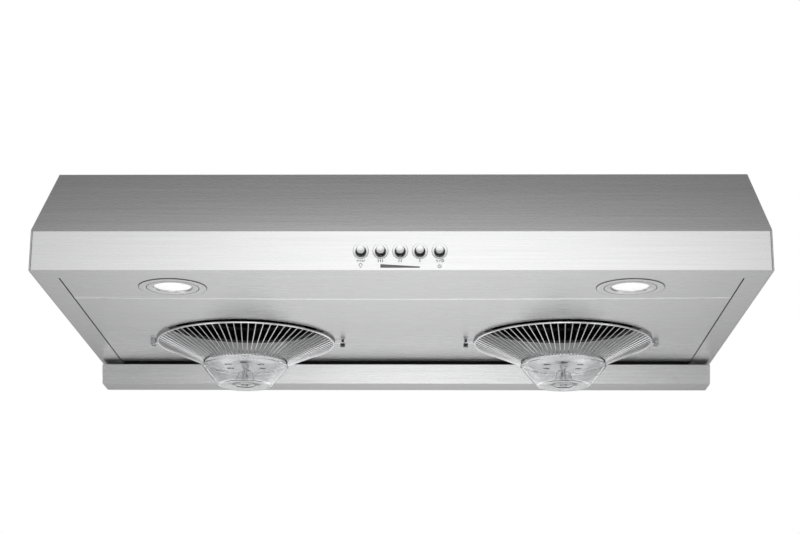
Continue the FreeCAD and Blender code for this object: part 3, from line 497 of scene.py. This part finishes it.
def make_dish(name):
    """The pressed dish at the grille's middle: a floor, a nut and the stud for the oil cup, with black plates
    painted on as shade where its slots are.
    """
    low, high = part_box("grille_plate_" + name)
    centre = middle_at("oil_cup_" + name, high.z)
    mesh = bmesh.new()
    profile = [(2.4, -4.0), (17.0, -4.1), (24.5, -4.0), (30.0, -3.9), (41.5, -0.9), (43.6, -0.8),
               (43.6, -0.2), (41.0, -0.2), (29.5, -3.1), (17.0, -3.3), (2.4, -3.2)]
    turn(mesh, softened(profile, 1.5), centre, steps=108)
    nut_points = []
    for corner in range(6):
        angle = math.pi * corner / 3
        corner_place = Vector((NUT_RADIUS * math.cos(angle), NUT_RADIUS * math.sin(angle), -6.6))
        nut_points.append(centre + corner_place * MM)
    plate(mesh, nut_points, UP, 2.5)
    stud_low = (low.z - high.z) / MM
    stud = [(0, stud_low), (2.1, stud_low), (2.5, stud_low + 0.6), (2.5, -3.5), (0, -3.5)]
    stud = softened(stud, 0.2, closed=False)
    turn(mesh, stud, centre, steps=32, closed=False)
    piece = finish_piece("grille_dish_" + name, mesh, "dish", "grille_" + name,
                         ["grille_plate_" + name])
    # The slots are painted shade: thin black plates on the dish where the holes would look dark.
    slot_shade = bmesh.new()
    for number in range(SLOT_COUNT):
        angle = math.radians(360 / SLOT_COUNT * number + 30)
        spot = centre + Vector((SLOT_CIRCLE * math.cos(angle), SLOT_CIRCLE * math.sin(angle), -4.55)) * MM
        outline = []
        for step in range(16):
            around = 2 * math.pi * step / 16
            straight = Vector((SLOT_HALF_STRAIGHT if math.cos(around) > 0 else -SLOT_HALF_STRAIGHT, 0, 0))
            bend = Vector((SLOT_HALF_WIDTH * math.cos(around), SLOT_HALF_WIDTH * math.sin(around), 0))
            outline.append(spot + (bend + straight) * MM)
        plate(slot_shade, outline, UP, 0.6)
    finish_piece("dish_slot_shade_" + name, slot_shade, "black_paint", "grille_" + name)
    return piece


def make_oil_cup(name):
    """The clear oil cup: a tapered wall with a rolled lip, a flat floor and a hollow boss round the stud."""
    node = "oil_cup_" + name
    top = tall(node)
    profile = [(2.8, 0.4), (2.8, 17.4), (7.2, 17.4), (8.3, 16.6), (12.0, 1.9), (30.0, 1.7),
               (47.8, top - 2.0), (47.2, top), (49.6, top), (50.9, top - 1.6), (31.0, 0.3), (29.2, 0.0),
               (12.6, 0.0), (11.2, 0.3), (7.4, 15.6), (4.0, 15.4), (4.0, 0.4)]
    return turned("clear_" + node, profile, foot(node), "clear_plastic", node, [node],
                  steps=128, round_off=1.0)


def make_thumbscrew(name):
    """A small waisted screw with knurled bands."""
    node = "thumbscrew_" + name
    top = tall(node)
    profile = [(0, 0), (2.4, 0), (3.1, 0.4), (3.1, 1.3), (2.1, 1.6), (2.1, 2.4), (3.1, 2.7), (3.1, 3.6),
               (2.7, 4.0), (1.5, 4.0), (1.5, top - 0.5), (1.1, top), (0, top)]
    return turned("thumbscrew_head_" + name, profile, foot(node), "dark_chrome_and_shade", node, [node],
                  steps=96, round_off=0.2, closed=False, ribs=(24, 0.22, 0.5, 3.7))


# Lamps ----------------------------------------------------------------------------------------------------

LAMP_RIM_START = 35.35
LAMP_GROOVE = (27.0, 27.9)


def make_lamp(name):
    """A flush lamp: a brushed ring round a lit cover, with its rim and a groove painted near-black as shade.
    """
    centre = middle_at("lamp_bezel_" + name, UNDERSIDE)
    profile = [(36.0, -0.02), (36.0, -0.5), (35.5, -0.62), (35.3, -0.7), (28.0, -0.7), (27.8, -0.6),
               (27.1, -0.6), (26.9, -0.7), (20.8, -0.4), (20.2, 0.2), (19.95, 0.6), (19.95, 3.9), (27.1, 3.9),
               (27.1, 0.05)]
    ring = turned("lamp_ring_" + name, profile, centre, "underside", "hood",
                  ["lamp_bezel_" + name], steps=144, round_off=0.1)

    def in_shade(face):
        from_axis = math.hypot(face.center.x - centre.x, face.center.y - centre.y) / MM
        in_groove = LAMP_GROOVE[0] < from_axis < LAMP_GROOVE[1] and face.center.z < centre.z
        return from_axis > LAMP_RIM_START or in_groove

    # The rim and the groove are painted near-black as shade.
    paint_faces(ring, "painted_shade_black", in_shade)
    cover = [(0, 1.0), (14.0, 1.05), (19.0, 1.3), (19.8, 1.8), (19.8, 3.4), (0, 3.4)]
    turned("lamp_cover_" + name, cover, centre, "lens", "hood", ["lamp_lens_" + name], steps=144,
           round_off=0.5, closed=False)


# Push buttons ---------------------------------------------------------------------------------------------

def make_buttons():
    """Metal caps, which each slide in a flat ring; the sides of caps and rings are painted dark chrome as
    shade.
    """
    front = -BACK
    rings = bmesh.new()
    for button in BUTTONS:
        low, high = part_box("button_" + button)
        centre = Vector(((low.x + high.x) / 2, FASCIA, (low.z + high.z) / 2))
        profile = [(8.1, 0.02), (8.05, 1.0), (7.7, 1.3), (5.3, 1.05), (4.75, 0.8), (4.75, -4.0),
                   (5.8, -4.0), (5.8, 0.02)]
        turn(rings, softened(profile, 0.2), centre, front, steps=72)
        proud = (FASCIA - low.y) / MM
        deep = (FASCIA - high.y) / MM
        cap = [(0, proud - 0.25), (2.6, proud - 0.15), (3.9, proud), (4.4, proud - 0.5), (4.4, -0.9),
               (2.5, -1.0), (2.5, deep), (0, deep)]
        piece = turned("button_cap_" + button, cap, centre, "cap_face", "button_" + button,
                       ["button_" + button], axis=front, steps=64, round_off=0.35, closed=False)
        # The cap's sides are painted dark chrome as shade.
        paint_faces(piece, "dark_chrome_and_shade", faces_sideways)
    piece = finish_piece("button_rings", rings, "cap_face", "hood", ["button_bezels"])
    # The ring's sides are painted dark chrome as shade.
    paint_faces(piece, "dark_chrome_and_shade", faces_sideways)


def print_shape(mesh, corners, spot):
    """A thin printed shape on the fascia, from (across, up) corners in millimetres."""
    outline = [Vector((spot.x + across * MM, FASCIA - 0.02 * MM, spot.z + up * MM)) for across, up in corners]
    plate(mesh, outline, -BACK, 0.03)


def arc_band(radius, width, start, end, steps=20):
    """The outline of a part of a ring, between two angles in degrees."""
    angles = [math.radians(start + (end - start) * step / steps) for step in range(steps + 1)]
    far, near = radius + width / 2, radius - width / 2
    outer = [(far * math.cos(angle), far * math.sin(angle)) for angle in angles]
    inner = [(near * math.cos(angle), near * math.sin(angle)) for angle in reversed(angles)]
    return outer + inner


def bar(mesh, spot, across, up, width, height, lean=0.0):
    """A printed upright bar, its top moved across by lean."""
    half = width / 2
    top = across + lean
    print_shape(mesh, [(across - half, up), (across + half, up), (top + half, up + height),
                       (top - half, up + height)], spot)


def ring_sign(mesh, spot, across, up, radius, width, start=0, end=359):
    """A printed ring, or part of one between two angles."""
    print_shape(mesh, [(across + a, up + b) for a, b in arc_band(radius, width, start, end)], spot)


def make_print():
    """Plain signs under the buttons: bars that count the speeds, on and off marks, a lamp and a wedge."""
    mesh = bmesh.new()
    places = {button: middle("button_" + button) for button in BUTTONS}
    for button, count in (("high", 3), ("medium", 2), ("low", 1)):
        for number in range(count):
            bar(mesh, places[button], 2.2 * (number - (count - 1) / 2), -11.6, 0.8, 2.9)
    lamp, power = places["lamp"], places["power"]
    for number in range(5):
        bar(mesh, lamp, 1.5 * (number - 2), -11.2, 0.7, 2.1, 0.5 * (number - 2))
    bar(mesh, power, -2.6, -11.6, 0.8, 2.9)
    bar(mesh, power, -0.7, -11.6, 0.7, 2.9, 1.4)
    ring_sign(mesh, power, 2.9, -10.15, 1.25, 0.7)
    ring_sign(mesh, lamp, 0, -14.6, 1.5, 0.65, -40, 220)
    bar(mesh, lamp, 0, -16.7, 2.3, 0.45)
    bar(mesh, lamp, 0, -17.5, 1.5, 0.45)
    ring_sign(mesh, power, 0, -15.9, 1.6, 0.65, 125, 415)
    bar(mesh, power, 0, -15.7, 0.65, 2.1)
    width = (places["low"].x - places["high"].x) / MM
    print_shape(mesh, [(0, -17.6), (width, -17.6), (width, -16.2), (0, -13.7)], places["high"])
    finish_piece("printed_signs", mesh, "ink", "hood")


# Rivets, impellers and the duct collar --------------------------------------------------------------------

def make_rivets():
    """Small domed rivets along the seam between the light panel and the fan deck."""
    mesh = bmesh.new()
    low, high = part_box("panel_rivets")
    across_places = (low.x + 2 * MM, (low.x + high.x) / 2, high.x - 2 * MM)
    for index, across in enumerate(across_places):
        back = high.y - 2 * MM if index == 1 else low.y + 2 * MM
        centre = Vector((across, back, UNDERSIDE))
        dome = [(0, -0.6), (0.9, -0.52), (1.6, -0.3), (2.0, 0.0), (1.0, 0.02), (1.0, 2.4), (0, 2.4)]
        turn(mesh, softened(dome, 0.2, False), centre, steps=24, closed=False)
    finish_piece("seam_rivets", mesh, "lamp_steel", "hood", ["panel_rivets"])


SEAM_BACK = 108.5
SEAM_BOW = 8.5
SEAM_SPANS = 60


def make_seam_bead():
    """The rolled rear edge of the light panel, which catches the light as a thin bowed line."""
    low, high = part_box("fan_deck")
    half = (high.x - low.x) / 2 / MM
    fold = (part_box("front_fascia")[1].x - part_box("front_fascia")[0].x) / 2 / MM
    circle = (fold ** 2 + SEAM_BOW ** 2) / (2 * SEAM_BOW)
    points = []
    for step in range(SEAM_SPANS + 1):
        across = half * (2 * step / SEAM_SPANS - 1)
        back = SEAM_BACK + SEAM_BOW - circle + math.sqrt(circle ** 2 - across ** 2)
        points.append(Vector((across * MM, FASCIA + back * MM, UNDERSIDE + 0.15 * MM)))
    mesh = bmesh.new()
    wire(mesh, points, 0.75, UP, sides=12)
    finish_piece("seam_bead", mesh, "wire_chrome", "hood")


CAGE_BLADES = 36
BLADE_ROOT = 78.6
BLADE_SWEEP = math.radians(5.5)
BLADE_HALF = 0.4
RIM_INSIDE = 78.2
RIM_HEIGHT = 2.0
WEB_EDGE = 84.5


def make_impeller(name):
    """A squirrel cage with curved blades between two rings, on a dished web and a hub."""
    low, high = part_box("impeller_" + name)
    centre = foot("impeller_" + name)
    height = tall("impeller_" + name)
    outer = (high.x - low.x) / 2 / MM
    blade_reach = outer - 0.6 - BLADE_ROOT
    mesh = bmesh.new()
    for number in range(CAGE_BLADES):
        start = 2 * math.pi * number / CAGE_BLADES
        outline = []
        for offset in (-BLADE_HALF, BLADE_HALF):
            line = []
            for step in range(7):
                share = step / 6
                radius = BLADE_ROOT + blade_reach * share
                angle = start + BLADE_SWEEP * (share - 0.5) * (1.4 - share) + offset / radius
                line.append(centre + Vector((math.cos(angle), math.sin(angle), 0)) * radius * MM
                            + UP * 0.6 * MM)
            outline += line if offset < 0 else line[::-1]
        plate(mesh, outline, UP, height - 1.2)
    for ring_low in (0.0, height - RIM_HEIGHT):
        ring_top = ring_low + RIM_HEIGHT
        ring = [(RIM_INSIDE, ring_low), (outer, ring_low), (outer, ring_top), (RIM_INSIDE, ring_top)]
        turn(mesh, softened(ring, 0.5), centre, steps=96)
    web = [(4.1, 15.0), (14.0, 15.0), (14.0, 32.0), (30.0, 33.0), (WEB_EDGE, 33.0), (WEB_EDGE, 34.5),
           (4.1, 34.5)]
    turn(mesh, softened(web, 1.2), centre, steps=72)
    finish_piece("fan_wheel_" + name, mesh, "black_paint", "impeller_" + name,
                 ["impeller_" + name, "impeller_hub_" + name])


def make_collar():
    """The duct collar: a flanged spigot with a rolled bead near its end."""
    low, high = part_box("duct_collar")
    top = tall("duct_collar")
    flange = (high.x - low.x) / 2 / MM
    profile = [(74.7, 0), (flange, 0), (flange, 1), (77.0, 1), (75.7, 2.4), (75.7, top - 0.4), (75.2, top),
               (74.7, top - 0.4)]
    turned("spigot", profile, foot("duct_collar"), "galvanised", "hood", ["duct_collar"],
           steps=144, round_off=0.6)


# The stage ------------------------------------------------------------------------------------------------

CAMERA_PLACE = Vector((0.0293, -2.0305, -0.6271))
CAMERA_LENS = 80.36
CAMERA_PITCH = math.radians(15.64)
CAMERA_YAW = math.radians(-0.968)
CAMERA_ROLL = math.radians(0.26)


def make_camera():
    """The camera stands low in front and looks up at the hood."""
    camera = bpy.data.objects.new("camera", bpy.data.cameras.new("camera"))
    camera.data.sensor_width = 36.0
    camera.data.lens = CAMERA_LENS
    camera.data.clip_start = 0.05
    camera.data.clip_end = 50.0
    flat = math.cos(CAMERA_PITCH)
    forward = Vector((math.sin(CAMERA_YAW) * flat, math.cos(CAMERA_YAW) * flat, math.sin(CAMERA_PITCH)))
    level = Vector((math.cos(CAMERA_YAW), -math.sin(CAMERA_YAW), 0))
    upright = level.cross(forward)
    right = level * math.cos(CAMERA_ROLL) + upright * math.sin(CAMERA_ROLL)
    above = upright * math.cos(CAMERA_ROLL) - level * math.sin(CAMERA_ROLL)
    turned_axes = Matrix((right, above, -forward)).transposed()
    camera.matrix_world = Matrix.Translation(CAMERA_PLACE) @ turned_axes.to_4x4()
    bpy.context.scene.collection.objects.link(camera)
    bpy.context.scene.camera = camera


def soft_card(name, place, aim, size, radiance):
    """A glowing card that fades out towards its rim, seen only in reflections and as light."""
    mesh = bmesh.new()
    half_width, half_height = size[0] / 2, size[1] / 2
    corners = ((-half_width, -half_height), (half_width, -half_height), (half_width, half_height),
               (-half_width, half_height))
    mesh.faces.new([mesh.verts.new((across, along, 0)) for across, along in corners])
    data = bpy.data.meshes.new(name)
    mesh.to_mesh(data)
    mesh.free()
    material = bpy.data.materials.new(name)
    material.use_nodes = True
    tree = material.node_tree
    tree.nodes.clear()
    coordinates = add_node(material, "ShaderNodeTexCoord")
    scaled = add_node(material, "ShaderNodeMapping", Vector=coordinates.outputs["Object"],
                      Scale=(1 / half_width, 1 / half_height, 1))
    reach = add_node(material, "ShaderNodeVectorMath", settings={"operation": "LENGTH"},
                     Vector=scaled.outputs["Vector"])
    fade = add_node(material, "ShaderNodeMapRange", settings={"interpolation_type": "SMOOTHERSTEP"},
                    Value=reach.outputs["Value"], From_Min=0.0, From_Max=1.0, To_Min=radiance, To_Max=0.0)
    glow = add_node(material, "ShaderNodeEmission", Strength=fade.outputs["Result"])
    clear = add_node(material, "ShaderNodeBsdfTransparent")
    both = tree.nodes.new("ShaderNodeAddShader")
    tree.links.new(glow.outputs["Emission"], both.inputs[0])
    tree.links.new(clear.outputs["BSDF"], both.inputs[1])
    output = tree.nodes.new("ShaderNodeOutputMaterial")
    tree.links.new(both.outputs["Shader"], output.inputs["Surface"])
    data.materials.append(material)
    card = bpy.data.objects.new(name, data)
    card.location = place
    card.rotation_mode = "QUATERNION"
    card.rotation_quaternion = (Vector(aim) - Vector(place)).to_track_quat("-Z", "Y")
    card.visible_camera = False
    card.visible_shadow = False
    bpy.context.scene.collection.objects.link(card)


CARDS = (
    ("front_wide", (0.0, -2.3, 0.20), (0.0, -0.29, -0.12), (5.2, 2.2), 1.40),
    ("front_middle", (0.05, -2.2, 0.16), (0.0, -0.29, -0.12), (2.0, 1.4), 0.60),
    ("behind_near", (0.0, 0.45, -0.50), (0.0, -0.5, -0.50), (2.4, 0.84), 1.05),
    ("tray_light", (0.02, -1.35, -0.78), (0.0, 0.13, -0.16), (1.5, 0.9), 1.15),
    ("below", (0.0, -0.55, -0.86), (0.0, 0.13, -0.16), (1.8, 1.2), 0.95),
    ("over_slope", (0.0, -0.34, 0.22), (0.0, -0.24, -0.05), (2.0, 0.5), 2.30),
    ("above_front", (0.0, -1.7, 1.5), (0.0, -0.29, -0.1), (3.4, 1.4), 1.6),
    ("low_left", (-0.80, -0.40, -0.86), (-0.80, -0.41, 0.0), (0.8, 1.4), 1.2),
    ("low_right", (0.80, -0.40, -0.86), (0.80, -0.41, 0.0), (0.8, 1.4), 1.2),
    ("side_left", (-1.9, -0.5, 0.1), (0.0, 0.0, -0.1), (1.8, 1.8), 1.0),
    ("side_right", (1.9, -0.5, 0.1), (0.0, 0.0, -0.1), (1.8, 1.8), 1.0),
)


FLOOR_HALF = 5.0
FLOOR_LEVEL = -0.90
SURROUND_LIGHT = 0.22


def make_stage():
    """A plain pale floor, an even white surround and a few soft cards."""
    floor_mesh = bmesh.new()
    corners = ((-FLOOR_HALF, -FLOOR_HALF), (FLOOR_HALF, -FLOOR_HALF), (FLOOR_HALF, FLOOR_HALF),
               (-FLOOR_HALF, FLOOR_HALF))
    floor_mesh.faces.new([floor_mesh.verts.new((across, back, FLOOR_LEVEL)) for across, back in corners])
    data = bpy.data.meshes.new("floor")
    floor_mesh.to_mesh(data)
    floor_mesh.free()
    material = new_material("floor", Roughness=0.8)
    tint(material, grain(material, (2.0, 2.0, 2.0)), (0.78, 0.78, 0.78), (0.82, 0.82, 0.82))
    data.materials.append(material)
    floor = bpy.data.objects.new("floor", data)
    bpy.context.scene.collection.objects.link(floor)

    world = bpy.data.worlds.new("studio")
    world.use_nodes = True
    bpy.context.scene.world = world
    tree = world.node_tree
    around = tree.nodes["Background"]
    around.inputs["Color"].default_value = (1, 1, 1, 1)
    around.inputs["Strength"].default_value = SURROUND_LIGHT
    seen = tree.nodes.new("ShaderNodeBackground")
    seen.inputs["Color"].default_value = (1, 1, 1, 1)
    path = tree.nodes.new("ShaderNodeLightPath")
    through = tree.nodes.new("ShaderNodeMath")
    through.operation = "MAXIMUM"
    tree.links.new(path.outputs["Is Camera Ray"], through.inputs[0])
    tree.links.new(path.outputs["Is Transmission Ray"], through.inputs[1])
    mix = tree.nodes.new("ShaderNodeMixShader")
    tree.links.new(through.outputs["Value"], mix.inputs["Fac"])
    tree.links.new(around.outputs["Background"], mix.inputs[1])
    tree.links.new(seen.outputs["Background"], mix.inputs[2])
    tree.links.new(mix.outputs["Shader"], tree.nodes["World Output"].inputs["Surface"])
    for card in CARDS:
        soft_card(*card)
    bpy.context.scene.view_settings.view_transform = "Standard"


make_camera()
dress_nodes()
for side_name, side_sign in SIDES:
    make_grille(side_name, side_sign)
    make_dish(side_name)
    make_oil_cup(side_name)
    make_thumbscrew(side_name)
    make_lamp(side_name)
    make_impeller(side_name)
make_buttons()
make_print()
make_rivets()
make_seam_bead()
make_collar()
make_stage()
